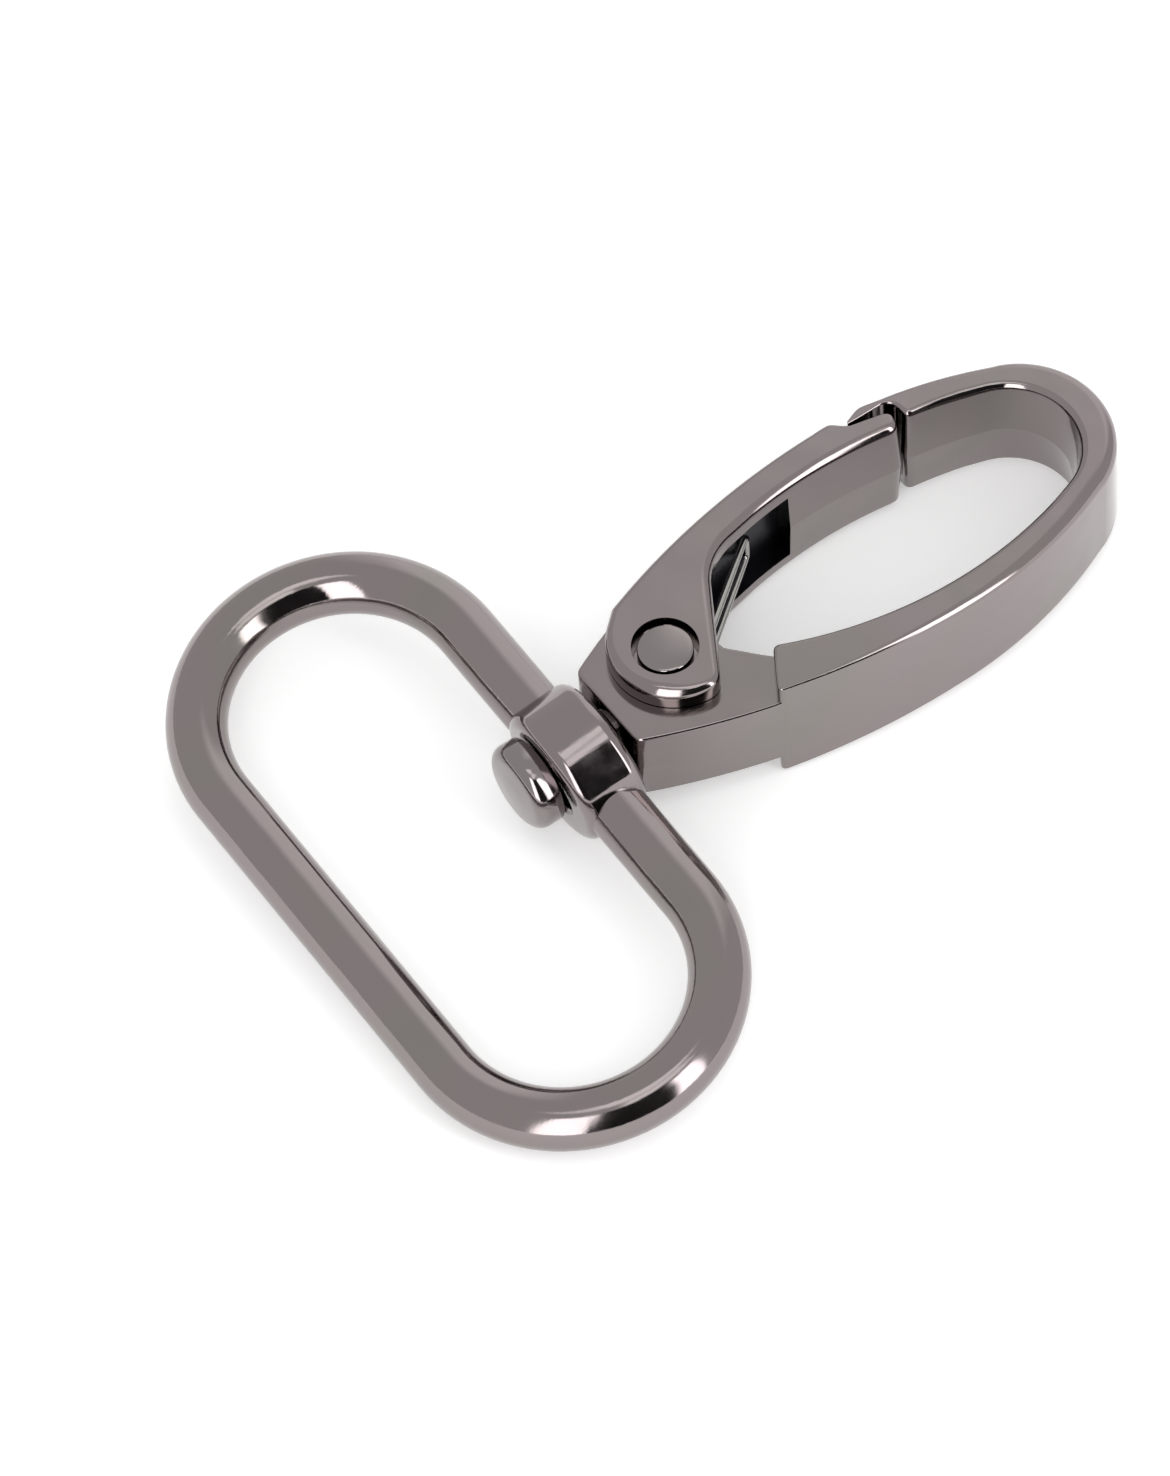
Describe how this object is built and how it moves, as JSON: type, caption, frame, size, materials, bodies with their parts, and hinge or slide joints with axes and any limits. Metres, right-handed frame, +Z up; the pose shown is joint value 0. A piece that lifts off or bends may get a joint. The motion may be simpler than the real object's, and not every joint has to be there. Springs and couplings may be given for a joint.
{
  "type": "swivel snap hook",
  "caption": "Swivel snap hook with an oval strap loop, a tapering closed hook and a sprung push gate pinned to the hook's base.",
  "frame": {"origin": "centre of the hook's opening, on the swivel axis at mid-thickness", "axes": "+X along the swivel axis from the strap loop to the hook's nose; +Z up through the hook's flat side; +Y towards the gate"},
  "size_m": [0.0606, 0.0458, 0.0094],
  "materials": {
    "plated_body": "glossy gunmetal plating on die-cast zinc",
    "plated_rivet": "glossy gunmetal plating on a steel rivet",
    "spring_steel": "drawn spring wire"
  },
  "bodies": {
    "hook": {"hook_body": "plated_body", "gate_pin": "plated_rivet", "gate_spring": "spring_steel"},
    "gate": {"gate": "plated_body"},
    "rivet": {"swivel_rivet": "plated_rivet"},
    "loop": {"strap_loop": "plated_body"}
  },
  "joints": [
    {"name": "swivel", "type": "hinge", "parent": "hook", "child": "rivet", "pos_m": [-0.025, 0, 0], "axis": [1, 0, 0], "continuous": true},
    {"name": "loop_rock", "type": "hinge", "parent": "rivet", "child": "loop", "pos_m": [-0.025, 0, 0], "axis": [0, 1, 0], "range_deg": [0, 12.8]},
    {"name": "gate_hinge", "type": "hinge", "parent": "hook", "child": "gate", "pos_m": [-0.0176, 0.00057, 0], "axis": [0, 0, -1], "range_deg": [0, 25], "stiffness_Nm_per_rad": 0.012, "springref_deg": -34.38, "deforming": ["gate_spring"]}
  ]
}
